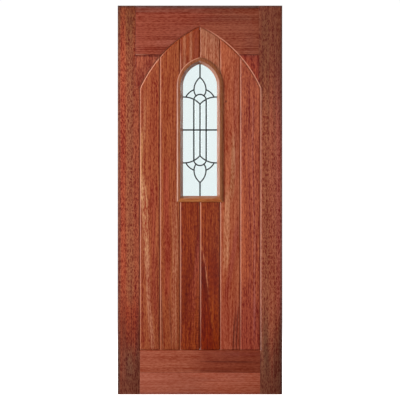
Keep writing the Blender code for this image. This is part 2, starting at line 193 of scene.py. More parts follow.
@contextmanager
def editing(piece: Object) -> Iterator[None]:
    """Opens an object's mesh with all of it selected, and closes it afterwards.

    Args:
        piece: The object.
    """
    select_only(piece)
    bpy.ops.object.mode_set(mode="EDIT")
    bpy.ops.mesh.select_all(action="SELECT")
    yield
    bpy.ops.object.mode_set(mode="OBJECT")


def settle(piece: Object) -> None:
    """Moves an object's place, turn and scale into its mesh."""
    select_only(piece)
    bpy.ops.object.transform_apply(location=True, rotation=True, scale=True)


def close_up(piece: Object) -> None:
    """Merges doubled points and turns every face outwards.

    Args:
        piece: The piece.
    """
    with editing(piece):
        bpy.ops.mesh.remove_doubles(threshold=0.000002)
        bpy.ops.mesh.normals_make_consistent(inside=False)


def smooth(piece: Object, degrees: float) -> None:
    """Shades a piece smooth, apart from edges sharper than an angle in degrees."""
    select_only(piece)
    bpy.ops.object.shade_smooth_by_angle(angle=math.radians(degrees))


def flat_section(name: str, place: Place, width: float, depth: float) -> Object:
    """Adds a flat rectangle, square to z, that a piece is drawn from.

    Args:
        name: The piece's name.
        place: The middle of the rectangle.
        width: Its size along x.
        depth: Its size along y.

    Returns:
        The rectangle.
    """
    bpy.ops.object.select_all(action="DESELECT")
    bpy.ops.mesh.primitive_plane_add(size=1.0, location=place)
    piece = bpy.context.object
    piece.name = name
    piece.scale = (width, depth, 1.0)
    settle(piece)
    return piece


def draw_out(piece: Object, way: Place) -> None:
    """Extrudes a flat section to a solid.

    Args:
        piece: The flat section.
        way: The direction and length that it is drawn.
    """
    with editing(piece):
        bpy.ops.mesh.extrude_region_move(TRANSFORM_OT_translate={"value": way})


def swing_round(piece: Object, centre: Place, angle: float, steps: int) -> None:
    """Spins a flat section to a curved solid, about an axis along y.

    Args:
        piece: The flat section.
        centre: A point on the axis.
        angle: The angle that it swings through.
        steps: The number of straight lengths in the curve.
    """
    with editing(piece):
        bpy.ops.mesh.spin(steps=steps, angle=angle, center=centre, axis=(0.0, 1.0, 0.0))
    close_up(piece)


def pick_points(piece: Object, wanted: Callable[[Vector], bool]) -> None:
    """Selects the points of the mesh being edited whose place passes a test.

    Args:
        piece: The object in edit mode.
        wanted: A test of a point's place.
    """
    bpy.ops.mesh.select_mode(type="VERT")
    bpy.ops.mesh.select_all(action="DESELECT")
    bpy.ops.object.mode_set(mode="OBJECT")
    for vertex in piece.data.vertices:
        vertex.select = wanted(vertex.co)
    bpy.ops.object.mode_set(mode="EDIT")
    bpy.ops.mesh.select_mode(type="VERT")


def cut_away(piece: Object, place: Place, normal: Place) -> None:
    """Cuts a closed piece with a plane and closes the cut.

    Args:
        piece: The piece to cut.
        place: A point on the plane.
        normal: The side of the plane that is thrown away.
    """
    with editing(piece):
        bpy.ops.mesh.bisect(plane_co=place, plane_no=normal, use_fill=True, clear_outer=True)


def mirrored(source: Object, name: str) -> Object:
    """Copies a piece to the other side of the door's centre line.

    Args:
        source: The piece to copy.
        name: The copy's name.

    Returns:
        The copy, with its own mesh.
    """
    piece = source.copy()
    piece.data = source.data.copy()
    piece.name = name
    bpy.context.scene.collection.objects.link(piece)
    piece.scale = (-1.0, 1.0, 1.0)
    piece.location = (2 * MIDDLE, 0.0, 0.0)
    settle(piece)
    close_up(piece)
    return piece


def merged_copy(node: str, name: str) -> Object:
    """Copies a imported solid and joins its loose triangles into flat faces.

    Args:
        node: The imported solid's name.
        name: The copy's name.

    Returns:
        The copy.
    """
    piece = bpy.data.objects.new(name, bpy.data.objects[node].data.copy())
    bpy.context.scene.collection.objects.link(piece)
    select_only(piece)
    bpy.ops.mesh.customdata_custom_splitnormals_clear()
    with editing(piece):
        bpy.ops.mesh.remove_doubles(threshold=0.000005)
        bpy.ops.mesh.dissolve_limited(angle_limit=math.radians(0.3))
        bpy.ops.mesh.normals_make_consistent(inside=False)
    return piece


def fit(piece: Object, finish: Material, slot: str, *nodes: str) -> None:
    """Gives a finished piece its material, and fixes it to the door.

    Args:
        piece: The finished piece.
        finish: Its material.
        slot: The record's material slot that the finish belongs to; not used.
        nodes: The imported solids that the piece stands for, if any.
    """
    piece.data.materials.clear()
    piece.data.materials.append(finish)
    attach(piece, BODY)
    if nodes:
        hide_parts(*nodes)
    log.info("%s: %d faces", piece.name, len(piece.data.polygons))


@dataclass(frozen=True)
class Streak:
    """A soft line of another tone that follows the grain, from its start to its end.

    Both ends are an x and a z on the face of the door. It is full up to a quarter of its
    width from its line, and gone at four fifths of it.
    """

    start: Point
    end: Point
    width: float
    colour: str
    strength: float


@dataclass(frozen=True)
class Shade:
    """A gradual change of tone along x or z, matched to the photo.

    The photo doesn't tell the wood's own tone from the light on it, so both are in here.
    """

    axis: str
    start: float
    end: float
    colour: str
    strength: float


@dataclass(frozen=True)
class Hardwood:
    """Lauan, a red tropical hardwood, planed, sanded and finished with satin lacquer.

    It has open pores a fraction of a millimetre wide, lines of colour along the grain, and
    on interlocked wood short wavy flecks.
    """

    # Real pores are 0.3 mm wide and real lines of grain 1 mm apart, too fine to show, so both
    # are drawn 4 mm wide
    LINES: ClassVar[Layer] = (260.0, 1.2, 1.5)
    PORES: ClassVar[Layer] = (230.0, 60.0, 1.0)
    # Bands 22 mm wide, curls 8 mm wide and 26 mm long, and ripples 5 mm apart
    BANDS: ClassVar[Layer] = (46.0, 1.1, 1.0)
    CURLS: ClassVar[Layer] = (130.0, 38.0, 1.0)
    RIPPLES: ClassVar[Layer] = (36.0, 190.0, 1.0)
    # What the lines, bands and pores weigh, and with them the curls of mottled wood
    WEIGHTS: ClassVar[tuple[float, ...]] = (2.3, 0.3, 1.8)
    MOTTLED_WEIGHTS: ClassVar[tuple[float, ...]] = (1.5, 0.3, 0.9, 0.85)
    RING_SPACING: ClassVar[float] = 0.012
    # The colour of the painted highlight on the joints' slopes
    BEVEL_HIGHLIGHT_COLOUR: ClassVar[str] = "#D08E74"

    name: str
    base: str
    grain: Grain = Grain.UPRIGHT
    figure: Figure = Figure.STRAIGHT
    contrast: float = 0.7
    waviness: float = 0.04
    seed: float = 0.0
    marks: tuple[Streak, ...] = ()
    shades: tuple[Shade, ...] = ()
    flame_apex: float = -0.15
    flame_slope: float = 0.165
    flame_colour: str = "#6A2014"
    ripple: float = 0.0
    # How strong the painted highlight on the joints' hinge-side slopes is, and the height above
    # which it is left off
    bevel_highlight: float = 0.9
    lacquer_ior: float = 1.36
    bevel_highlight_below: float = 0.74

    def make(self) -> Material:
        """Builds the material.

        Returns:
            The material.
        """
        material, tree, shader = new_material(self.name)
        coordinates = add_node(tree, "TexCoord")
        place = coordinates.outputs["Object"]
        axes = add_node(tree, "SeparateXYZ", {0: place})
        wandering = self._wander(tree, place)
        layers = [self._layer(tree, wandering, layer)
                  for layer in (self.LINES, self.BANDS, self.PORES)]
        lines, bands, pores = layers
        weights = self.WEIGHTS
        if self.figure is Figure.MOTTLED:
            layers.append(self._curls(tree, place))
            weights = self.MOTTLED_WEIGHTS
        colour: Feed = linear_colour(self.base)
        if self.figure is Figure.FLAME:
            colour = self._flame(tree, place, axes, colour)
        colour = self._marked(tree, axes, wandering, colour)
        colour = self._shaded(tree, axes, bands, colour)
        colour = self._grained(tree, list(zip(layers, weights)), colour)
        colour = self._painted_bevel_highlight(tree, coordinates.outputs["Normal"], axes, colour)
        # The lacquer is a little duller over the open grain, which stands 0.1 mm below the rest
        gloss = add_node(tree, "MapRange", {0: lines, 1: 0.3, 2: 0.7, 3: 0.42, 4: 0.32})
        height = add_node(tree, "Math", {0: lines, 1: pores}, operation="ADD")
        relief = add_node(tree, "Bump", {"Strength": 0.5, "Distance": 0.00035, "Height": height})
        feed(shader, {"Base Color": colour, "Roughness": gloss, "Normal": relief,
                      "IOR": self.lacquer_ior})
        return material

    def _scales(self, across: float, along: float) -> Place:
        """Turns scales that follow the grain to scales along the axes.

        Args:
            across: The scale across the grain.
            along: The scale along it.

        Returns:
            The x, y and z scales.
        """
        if self.grain is Grain.UPRIGHT:
            return (across, across, along)
        return (along, across, across)

    def _wander(self, tree: NodeTree, place: NodeSocket) -> Node:
        """Moves the lines of the grain from side to side, at most about 8 mm.

        Args:
            tree: The material's nodes.
            place: The place on the door.

        Returns:
            The moved place.
        """
        shift = (self.seed * 1.31, self.seed * 0.77, self.seed * 1.93)
        slow = add_node(tree, "VectorMath", {0: place, 1: self._scales(4.0, 1.7), 2: shift},
                        operation="MULTIPLY_ADD")
        drift = add_node(tree, "TexNoise", {"Vector": slow, "Scale": 1.0, "Detail": 1.0})
        centred = add_node(tree, "VectorMath", {0: drift.outputs["Color"], 1: (0.5, 0.5, 0.5)},
                           operation="SUBTRACT")
        return add_node(tree, "VectorMath",
                        {0: centred, 1: self._scales(self.waviness, 0.0), 2: place},
                        operation="MULTIPLY_ADD")

    def _layer(self, tree: NodeTree, place: Feed, layer: Layer) -> Node:
        """Adds one layer of grain.

        Args:
            tree: The material's nodes.
            place: The place on the door.
            layer: How fine the layer is.

        Returns:
            The layer, from 0 to 1 about a middle of 0.5.
        """
        across, along, detail = layer
        shift = (self.seed * 3.7, self.seed * 2.9, self.seed * 5.3)
        stretched = add_node(tree, "VectorMath",
                             {0: place, 1: self._scales(across, along), 2: shift},
                             operation="MULTIPLY_ADD")
        return add_node(tree, "TexNoise", {"Vector": stretched, "Scale": 1.0, "Detail": detail,
                                           "Roughness": 0.6})

    def _curls(self, tree: NodeTree, place: NodeSocket) -> Node:
        """Draws the short pale curls of interlocked grain.

        Args:
            tree: The material's nodes.
            place: The place on the door.

        Returns:
            The curls, from 0 to 1.
        """
        swirl = self._layer(tree, place, self.CURLS)
        level = add_node(tree, "Math", {0: swirl, 1: 0.5}, operation="SUBTRACT")
        away = add_node(tree, "Math", {0: level}, operation="ABSOLUTE")
        return ramped(tree, 1.0, (away, 0.0, 0.12, 1.0, 0.2))

    def _grained(self, tree: NodeTree, layers: list[tuple[Node, float]],
                 colour: Feed) -> NodeSocket:
        """Lays the grain over the colour, its lights paler and its darks deeper red.

        Args:
            tree: The material's nodes.
            layers: The layers of grain and how much each weighs.
            colour: The colour so far.

        Returns:
            The grained colour.
        """
        tone: Feed = 0.5 - sum(weight for _, weight in layers) / 2
        for layer, weight in layers:
            tone = add_node(tree, "Math", {0: layer, 1: weight, 2: tone},
                            operation="MULTIPLY_ADD")
        dark = tuple(max(0.02, 1 - self.contrast * s) for s in (0.6, 1.3, 1.7)) + (1.0,)
        light = tuple(1 + self.contrast * s for s in (0.6, 1.4, 2.2)) + (1.0,)
        grain = add_node(tree, "Mix", {0: tone, 6: dark, 7: light}, data_type="RGBA")
        return add_node(tree, "Mix", {0: 1.0, 6: colour, 7: grain.outputs[2]},
                        data_type="RGBA", blend_type="MULTIPLY").outputs[2]

    def _flame(self, tree: NodeTree, place: NodeSocket, axes: Node,
               colour: Feed) -> NodeSocket:
        """Lays on the tall flame of a board sawn through the tree's heart.

        Args:
            tree: The material's nodes.
            place: The place on the door.
            axes: The x, y and z of the place.
            colour: The colour so far.

        Returns:
            The colour with the flame.
        """
        rough = add_node(tree, "VectorMath", {0: place, 1: (24.0, 24.0, 6.0)},
                         operation="MULTIPLY")
        ragged = add_node(tree, "TexNoise", {"Vector": rough, "Scale": 1.0, "Detail": 3.0})
        aside = add_node(tree, "Math", {0: axes.outputs[0], 1: MIDDLE}, operation="SUBTRACT")
        away = add_node(tree, "Math", {0: aside}, operation="ABSOLUTE")
        side = add_node(tree, "Math", {0: axes.outputs[2], 1: -self.flame_slope,
                                       2: self.flame_apex * self.flame_slope},
                        operation="MULTIPLY_ADD")
        inside = add_node(tree, "Math", {0: side, 1: away}, operation="SUBTRACT")
        # The flame's outline is ragged by about 6 mm either way
        edge = add_node(tree, "Math", {0: ragged, 1: 0.03, 2: inside}, operation="MULTIPLY_ADD")
        turns = add_node(tree, "Math", {0: edge, 1: math.tau / self.RING_SPACING},
                         operation="MULTIPLY")
        rings = add_node(tree, "Math", {0: turns}, operation="SINE")
        ringed = add_node(tree, "MapRange", {0: rings, 1: -1.0, 2: 1.0, 3: 0.45, 4: 1.2})
        weight = ramped(tree, ringed, (edge, 0.013, 0.020, 0.0, 0.8))
        if self.ripple:
            # Ripples across the grain, low down beside the heart
            ripples = self._layer(tree, place, self.RIPPLES)
            swing = add_node(tree, "Math", {0: ripples, 1: 0.5}, operation="SUBTRACT")
            rippled = ramped(tree, swing, (axes.outputs[2], -0.58, -0.42, self.ripple, 0.0),
                             (away, 0.035, 0.065, 1.0, 0.0))
            weight = add_node(tree, "Math", {0: rippled, 1: weight}, operation="ADD")
        return add_node(tree, "Mix", {0: weight, 6: colour, 7: linear_colour(self.flame_colour)},
                        data_type="RGBA").outputs[2]

    def _marked(self, tree: NodeTree, axes: Node, wandering: Node, colour: Feed) -> Feed:
        """Lays the piece's own streaks over its colour.

        Args:
            tree: The material's nodes.
            axes: The x, y and z of the place.
            wandering: The place, moved as the grain is.
            colour: The colour so far.

        Returns:
            The colour with the streaks.
        """
        moved = add_node(tree, "SeparateXYZ", {0: wandering})
        upright = self.grain is Grain.UPRIGHT
        across = moved.outputs[0 if upright else 2]
        along = axes.outputs[2 if upright else 0]
        for mark in self.marks:
            ends = [mark.start, mark.end] if upright else [mark.start[::-1], mark.end[::-1]]
            (first, low), (last, high) = sorted(ends, key=lambda end: end[1])
            slope = (last - first) / (high - low)
            centre = add_node(tree, "Math", {0: along, 1: slope, 2: first - slope * low},
                              operation="MULTIPLY_ADD")
            off = add_node(tree, "Math", {0: across, 1: centre}, operation="SUBTRACT")
            away = add_node(tree, "Math", {0: off}, operation="ABSOLUTE")
            # It fades over 6 cm on each side of its ends, and over less where it is short
            fade = min(0.06, (high - low) * 0.35)
            weight = ramped(tree, mark.strength,
                            (away, mark.width * 0.25, mark.width * 0.8, 1.0, 0.0),
                            (along, low - fade, low + fade, 0.0, 1.0),
                            (along, high - fade, high + fade, 1.0, 0.0))
            colour = add_node(tree, "Mix", {0: weight, 6: colour, 7: linear_colour(mark.colour)},
                              data_type="RGBA").outputs[2]
        return colour

    def _shaded(self, tree: NodeTree, axes: Node, bands: Node, colour: Feed) -> Feed:
        """Lays the piece's gradual changes of tone over its colour.

        Args:
            tree: The material's nodes.
            axes: The x, y and z of the place.
            bands: The broad bands of the grain, which make the change uneven.
            colour: The colour so far.

        Returns:
            The shaded colour.
        """
        base = linear_colour(self.base)
        for shade in self.shades:
            # The bands shift the change by up to about a third of its length
            reach = (shade.end - shade.start) * 1.6
            uneven = add_node(tree, "Math", {0: bands, 1: reach, 2: -reach / 2},
                              operation="MULTIPLY_ADD")
            place = add_node(tree, "Math", {0: axes.outputs[shade.axis], 1: uneven},
                             operation="ADD")
            weight = ramped(tree, shade.strength, (place, shade.start, shade.end, 0.0, 1.0))
            ratio = tuple(end / start for end, start in zip(linear_colour(shade.colour), base))
            colour = add_node(tree, "Mix", {0: weight, 6: colour, 7: ratio}, data_type="RGBA",
                              blend_type="MULTIPLY").outputs[2]
        return colour

    def _painted_bevel_highlight(self, tree: NodeTree, normal: NodeSocket, axes: Node,
                     colour: NodeSocket) -> NodeSocket:
        """Paints a highlight on the slopes of the joints that face the hinge edge.

        The pale colour is painted light: it stands for the key light on those slopes, which
        is on the hinge side. The photo doesn't say why they are pale. They are taken as bare
        wood here, but they could be light on the slopes. It is strongest round the arch and
        weaker at the foot.

        Args:
            tree: The material's nodes.
            normal: The direction that the surface faces.
            axes: The x, y and z of the place.
            colour: The colour so far.

        Returns:
            The colour, with a painted highlight on the bevels that face the hinge edge.
        """
        facing = add_node(tree, "SeparateXYZ", {0: normal})
        sideways, square, tilt = (
            add_node(tree, "Math", {0: output}, operation="ABSOLUTE") for output in facing.outputs)
        height = axes.outputs["Z"]
        # The painted highlight is full on slopes facing the hinge side, where the key light is, a
        # quarter on slopes facing away, and fades towards the foot
        weight = ramped(
            tree, self.bevel_highlight,
            (square, 0.82, 0.96, 1.0, 0.0),
            (square, 0.3, 0.55, 0.0, 1.0),
            (sideways, 0.02, 0.15, 0.0, 1.0),
            (tilt, 0.1, 0.25, 0.55, 1.0),
            (facing.outputs["X"], -0.15, 0.0, 1.0, 0.25),
            (height, self.bevel_highlight_below - 0.03, self.bevel_highlight_below + 0.03, 1.0, 0.0),
            (height, -0.78, -0.45, 0.3, 1.0))
        return add_node(tree, "Mix", {0: weight, 6: colour, 7: linear_colour(self.BEVEL_HIGHLIGHT_COLOUR)},
                        data_type="RGBA").outputs[2]


@dataclass(frozen=True)
class LeadFinish:
    """Milled lead came, darkened by air to a dull blue grey, and the tin solder on its joints."""

    name: str = "Oxidised lead came"
    dark: str = "#0C1314"
    light: str = "#1F2B2C"
    metallic: float = 0.35
    roughness: float = 0.55

    def make(self) -> Material:
        """Builds the material.

        Returns:
            The material.
        """
        material, tree, shader = new_material(self.name)
        place = add_node(tree, "TexCoord").outputs["Object"]
        # Oxide blotches of about 12 mm
        blotches = add_node(tree, "TexNoise", {"Vector": place, "Scale": 85.0, "Detail": 4.0,
                                               "Roughness": 0.6})
        tint = add_node(tree, "Mix", {0: blotches, 6: linear_colour(self.dark),
                                      7: linear_colour(self.light)}, data_type="RGBA")
        dull = add_node(tree, "MapRange", {0: blotches, 1: 0.3, 2: 0.7, 3: self.roughness + 0.1,
                                           4: self.roughness - 0.1})
        # Small scratches and dents, about 2 mm apart
        dents = add_node(tree, "TexNoise", {"Vector": place, "Scale": 420.0, "Detail": 3.0})
        bump = add_node(tree, "Bump", {"Strength": 0.35, "Distance": 0.0003, "Height": dents})
        feed(shader, {"Base Color": tint.outputs[2], "Metallic": self.metallic,
                      "Roughness": dull, "Normal": bump})
        return material


@dataclass(frozen=True)
class GlassFinish:
    """Soda-lime glass, polished clear or rolled with a stipple that blurs what is behind it."""

    name: str
    tint: str
    roughness: float
    stipple: float = 0.02

    def make(self) -> Material:
        """Builds the material.

        Returns:
            The material.
        """
        material, tree, shader = new_material(self.name)
        place = add_node(tree, "TexCoord").outputs["Object"]
        # Bumps of about 4 mm, 7 mm apart
        ripple = add_node(tree, "TexNoise", {"Vector": place, "Scale": 150.0, "Detail": 1.0})
        bump = add_node(tree, "Bump", {"Strength": self.stipple, "Distance": 0.0006,
                                       "Height": ripple})
        feed(shader, {"Base Color": linear_colour(self.tint), "Transmission Weight": 1.0,
                      "Roughness": self.roughness, "IOR": 1.52, "Normal": bump})
        return material


@dataclass
class Studio:
    """The camera, the lights, the white surround and the pale floor."""

    distance: float = 12.0
    field: float = 2.0376
    key_power: float = 580.0
    fill_power: float = 68.0
    overhead_power: float = 26.0
    back_power: float = 85.0
    floor_size: float = 14.0
    seen_strength: float = 1.02
    unseen_strength: float = 0.12

    def build(self) -> None:
        """Sets up everything that isn't part of the door."""
        bpy.context.scene.view_settings.view_transform = "Standard"
        bpy.context.scene.view_settings.look = "None"
        self._camera()
        self._surround()
        self._floor()
        self._panel("Key softbox", (-5.2, -3.2, 0.1), (3.6, 3.4), self.key_power)
        fill = self._panel("Fill softbox", (MIDDLE + 1.7, -4.4, 0.5), (2.5, 2.5), self.fill_power)
        overhead = self._panel("Overhead softbox", (MIDDLE, -2.5, 3.2), (3.0, 1.6),
                               self.overhead_power)
        # The lacquer shows the key's reflection alone
        fill.visible_glossy = False
        overhead.visible_glossy = False
        for name, across in (("Back left softbox", -2.4), ("Back right softbox", 2.4)):
            self._panel(name, (MIDDLE + across, 3.4, 1.4), (2.4, 2.4), self.back_power)

    def _camera(self) -> None:
        """Puts a long lens square on to the middle of the door."""
        data = bpy.data.cameras.new("Camera")
        data.lens = data.sensor_width * self.distance / self.field
        data.clip_end = 60.0
        camera = bpy.data.objects.new("Camera", data)
        camera.location = (MIDDLE, -HALF_THICKNESS - self.distance, 0.0)
        camera.rotation_euler = (math.pi / 2, 0.0, 0.0)
        bpy.context.scene.collection.objects.link(camera)
        bpy.context.scene.camera = camera

    def _surround(self) -> None:
        """Makes a surround that is white to the eye and a soft fill on the door."""
        world = bpy.data.worlds.new("White surround")
        bpy.context.scene.world = world
        world.use_nodes = True
        tree = world.node_tree
        path = add_node(tree, "LightPath")
        seen = add_node(tree, "Math", {0: path.outputs["Is Camera Ray"],
                                       1: path.outputs["Is Transmission Ray"]},
                        operation="MAXIMUM")
        strength = add_node(tree, "MapRange", {0: seen, 1: 0.0, 2: 1.0, 3: self.unseen_strength,
                                               4: self.seen_strength})
        feed(tree.nodes["Background"], {"Color": (1.0, 1.0, 1.0, 1.0), "Strength": strength})

    def _floor(self) -> None:
        """Lays a white paper floor under the door."""
        bpy.ops.mesh.primitive_plane_add(size=self.floor_size, location=(MIDDLE, 0.0, -HALF_HEIGHT))
        floor = bpy.context.object
        floor.name = "Floor"
        material, _, shader = new_material("White paper floor")
        feed(shader, {"Base Color": linear_colour("#F4F4F2"), "Roughness": 0.9,
                      "Emission Color": (1.0, 1.0, 1.0, 1.0), "Emission Strength": 0.95})
        floor.data.materials.append(material)
        floor.visible_diffuse = False
        floor.visible_glossy = False

    def _panel(self, name: str, place: Place, size: Point, power: float) -> Object:
        """Hangs a soft panel light that faces the middle of the door.

        Args:
            name: The light's name.
            place: The middle of the panel.
            size: Its width and height.
            power: Its power in watts.

        Returns:
            The light.
        """
        data = bpy.data.lights.new(name, "AREA")
        data.shape = "RECTANGLE"
        data.size, data.size_y = size
        data.energy = power
        light = bpy.data.objects.new(name, data)
        light.location = place
        aim = Vector((MIDDLE, 0.0, 0.0)) - Vector(place)
        light.rotation_euler = aim.to_track_quat("-Z", "Y").to_euler()
        light.visible_camera = False
        bpy.context.scene.collection.objects.link(light)
        return light


@dataclass
class Joinery:
    """The stiles, rails, spandrels and boards, with their sharp edges eased."""

    arris: float = 0.0006
    tongue_width: float = 0.010
    tongue_thickness: float = 0.008
    tongue_bevel: float = 0.0015
    tongue_foot: float = -0.755
    below_window: float = -0.02

    def build(self, finishes: dict[str, Hardwood]) -> None:
        """Eases and dresses every plank, and closes the joints between them.

        Args:
            finishes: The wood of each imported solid, by its name.
        """
        woods = {node: wood.make() for node, wood in finishes.items()}
        for node, wood in woods.items():
            fit(self._eased(node), wood, f"{node}_wood", node)
        for name, board, x, low, high in self._joints():
            fit(self._tongue(name, x, low, high), woods[board], f"{board}_wood")

    def _joints(self) -> list[tuple[str, str, float, float, float]]:
        """Lists the tongues of the upright joints.

        Returns:
            Each tongue's name, its board, its x and the heights of its foot and head.
        """
        foot, sill = self.tongue_foot, self.below_window
        return [
            ("tongue_hinge_side", "board_1", 0.1125, foot, 0.555),
            ("tongue_1_2", "board_2", 0.21467, foot, 0.70),
            ("tongue_2_3_below", "board_3_below_window", 0.31683, foot, sill),
            ("tongue_2_3_above", "board_3_above_window", 0.31683, 0.63, 0.805),
            ("tongue_3_4_below", "board_4_below_window", 0.419, foot, sill),
            ("tongue_3_4_above", "board_4_above_window", 0.419, 0.72, 0.865),
            ("tongue_4_5_below", "board_5", 0.52117, foot, sill),
            ("tongue_4_5_above", "board_5", 0.52117, 0.63, 0.805),
            ("tongue_5_6", "board_6", 0.62333, foot, 0.70),
            ("tongue_lock_side", "board_6", 0.7255, foot, 0.555),
        ]

    def _tongue(self, name: str, x: float, low: float, high: float) -> Object:
        """Makes a loose tongue that keeps the light out of a joint.

        Args:
            name: The tongue's name.
            x: The joint's x.
            low: The height of the tongue's foot.
            high: The height of its head.

        Returns:
            The tongue, with bevelled edges, let into both boards.
        """
        piece = flat_section(name, (x, 0.0, low), self.tongue_width, self.tongue_thickness)
        with editing(piece):
            bpy.ops.mesh.bevel(offset=self.tongue_bevel, segments=2, affect="VERTICES")
        draw_out(piece, (0.0, 0.0, high - low))
        close_up(piece)
        return piece

    def _eased(self, node: str) -> Object:
        """Rounds a plank's edges as sandpaper does.

        Args:
            node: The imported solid's name.

        Returns:
            The eased plank.
        """
        piece = merged_copy(node, f"{node}_sanded")
        rounding = piece.modifiers.new("Eased edges", "BEVEL")
        rounding.width = self.arris
        rounding.segments = 2
        rounding.limit_method = "ANGLE"
        rounding.angle_limit = math.radians(25)
        rounding.use_clamp_overlap = True
        select_only(piece)
        bpy.ops.object.modifier_apply(modifier=rounding.name)
        smooth(piece, 30)
        return piece


@dataclass
class Lancet:
    """The window's sight line: two upright sides under a pointed head."""

    half_width: float = 0.0866667
    radius: float = 0.118
    springing: float = 0.580
    sill: float = 0.021

    @property
    def left(self) -> float:
        """The x of the left side."""
        return MIDDLE - self.half_width

    @property
    def apex(self) -> float:
        """The height of the sight line's point."""
        past = self.radius - self.half_width
        return self.springing + math.sqrt(self.radius ** 2 - past ** 2)

    @property
    def crossbar(self) -> float:
        """The height of the middle of the leading."""
        return (self.apex + self.sill) / 2


@dataclass
class GlazingBeads:
    """The beads round the window: an ovolo mould on the front and a plain one on the back."""

    window: Lancet
    in_opening: float = 0.0155
    lap: float = 0.0165
    gap: float = 0.0003
    came_face: float = 0.004
    nose: float = 0.003
    front_proud: float = 0.010
    back_proud: float = 0.006
    # The share of the crest and of the outer edge that is rounded off, in percent
    front_rounded: float = 72.0
    back_rounded: float = 30.0
    run_past: float = 0.05

    def build(self, woods: dict[str, Material]) -> None:
        """Models and dresses all ten beads.

        Args:
            woods: The wood of the beads on the left, on the right and at the sill.
        """
        for face in Face:
            name = face.name.lower()
            left, arch, sill = self._side(face), self._arch(face), self._sill(face)
            runs = {"left": left, "arch_left": arch, "sill": sill}
            runs["right"] = mirrored(left, f"{name}_right_moulding")
            runs["arch_right"] = mirrored(arch, f"{name}_arch_right_moulding")
            for run, piece in runs.items():
                close_up(piece)
                smooth(piece, 35)
                fit(piece, woods[run.split("_")[-1]], "bead_wood", f"{name}_bead_{run}")

    def _section(self, face: Face, run: str) -> Object:
        """Shapes the bead's cross-section, with x running out from the sight line.

        The section is an L: a stem in the opening and a lap on the boards.

        Args:
            face: The face of the door that the bead is on.
            run: The name of the bead's place in the window.

        Returns:
            A flat piece in the plane z = 0, with its real y.
        """
        front = face is Face.FRONT
        crest = HALF_THICKNESS + (self.front_proud if front else self.back_proud)
        rounded = self.front_rounded if front else self.back_rounded
        foot = self.came_face + self.gap
        stem = self.in_opening - self.gap
        outer = self.in_opening + self.lap
        ledge = HALF_THICKNESS + self.gap
        sign = float(face.value)
        piece = flat_section(f"{face.name.lower()}_{run}_moulding",
                             (stem / 2, sign * (foot + crest) / 2, 0.0), stem, crest - foot)
        with editing(piece):
            bpy.ops.mesh.bisect(plane_co=(0.0, sign * ledge, 0.0), plane_no=(0.0, 1.0, 0.0))
            pick_points(piece, lambda co: co.x > stem - NEARLY
                        and sign * co.y > ledge - NEARLY)
            bpy.ops.mesh.extrude_region_move(
                TRANSFORM_OT_translate={"value": (outer - stem, 0.0, 0.0)})
            bpy.ops.mesh.select_all(action="SELECT")
            bpy.ops.mesh.dissolve_limited(angle_limit=math.radians(1))
            pick_points(piece, lambda co: co.x > outer - NEARLY
                        and sign * co.y > crest - NEARLY)
            bpy.ops.mesh.bevel(offset_type="PERCENT", offset_pct=rounded,
                               segments=8, profile=0.5, affect="VERTICES", clamp_overlap=False)
            top = Vector((self.in_opening, sign * crest, 0.0))
            slope = Vector((0.0, sign * (foot + self.nose), 0.0)) - top
            bpy.ops.mesh.select_all(action="SELECT")
            bpy.ops.mesh.bisect(plane_co=top, plane_no=(slope.y * sign, -slope.x * sign, 0.0),
                                clear_outer=True)
        return piece

    def _stand_left(self, face: Face, run: str, height: float) -> Object:
        """Stands the section on the window's left side.

        Args:
            face: The face of the door that the bead is on.
            run: The name of the bead's place in the window.
            height: The height of the section.

        Returns:
            The flat section.
        """
        piece = self._section(face, run)
        piece.scale = (-1.0, 1.0, 1.0)
        piece.location = (self.window.left, 0.0, height)
        settle(piece)
        return piece

    def _side(self, face: Face) -> Object:
        """Runs the section up the left side and mitres its foot.

        Args:
            face: The face of the door that the bead is on.

        Returns:
            The bead.
        """
        low = self.window.sill - self.run_past
        piece = self._stand_left(face, "left", low)
        draw_out(piece, (0.0, 0.0, self.window.springing - self.gap - low))
        cut_away(piece, (self.window.left, 0.0, self.window.sill + self.gap), (1.0, 0.0, -1.0))
        return piece

    def _arch(self, face: Face) -> Object:
        """Swings the section round the left arc, past the apex, and cuts it there.

        Args:
            face: The face of the door that the bead is on.

        Returns:
            The bead.
        """
        springing = self.window.springing
        piece = self._stand_left(face, "arch_left", springing)
        centre = (self.window.left + self.window.radius, 0.0, springing)
        swing_round(piece, centre, -math.pi / 2, 40)
        cut_away(piece, (MIDDLE - self.gap / 2, 0.0, 0.0), (1.0, 0.0, 0.0))
        return piece

    def _sill(self, face: Face) -> Object:
        """Runs the section along the sill and mitres both its ends.

        Args:
            face: The face of the door that the bead is on.

        Returns:
            The bead.
        """
        piece = self._section(face, "sill")
        start = self.window.left - self.run_past
        piece.rotation_euler = (0.0, math.pi / 2, 0.0)
        piece.location = (start, 0.0, self.window.sill)
        settle(piece)
        draw_out(piece, (2 * (MIDDLE - start), 0.0, 0.0))
        for side in (-1.0, 1.0):
            corner = (MIDDLE + side * self.window.half_width, 0.0, self.window.sill)
            cut_away(piece, corner, (side, 0.0, 1.0))
        return piece


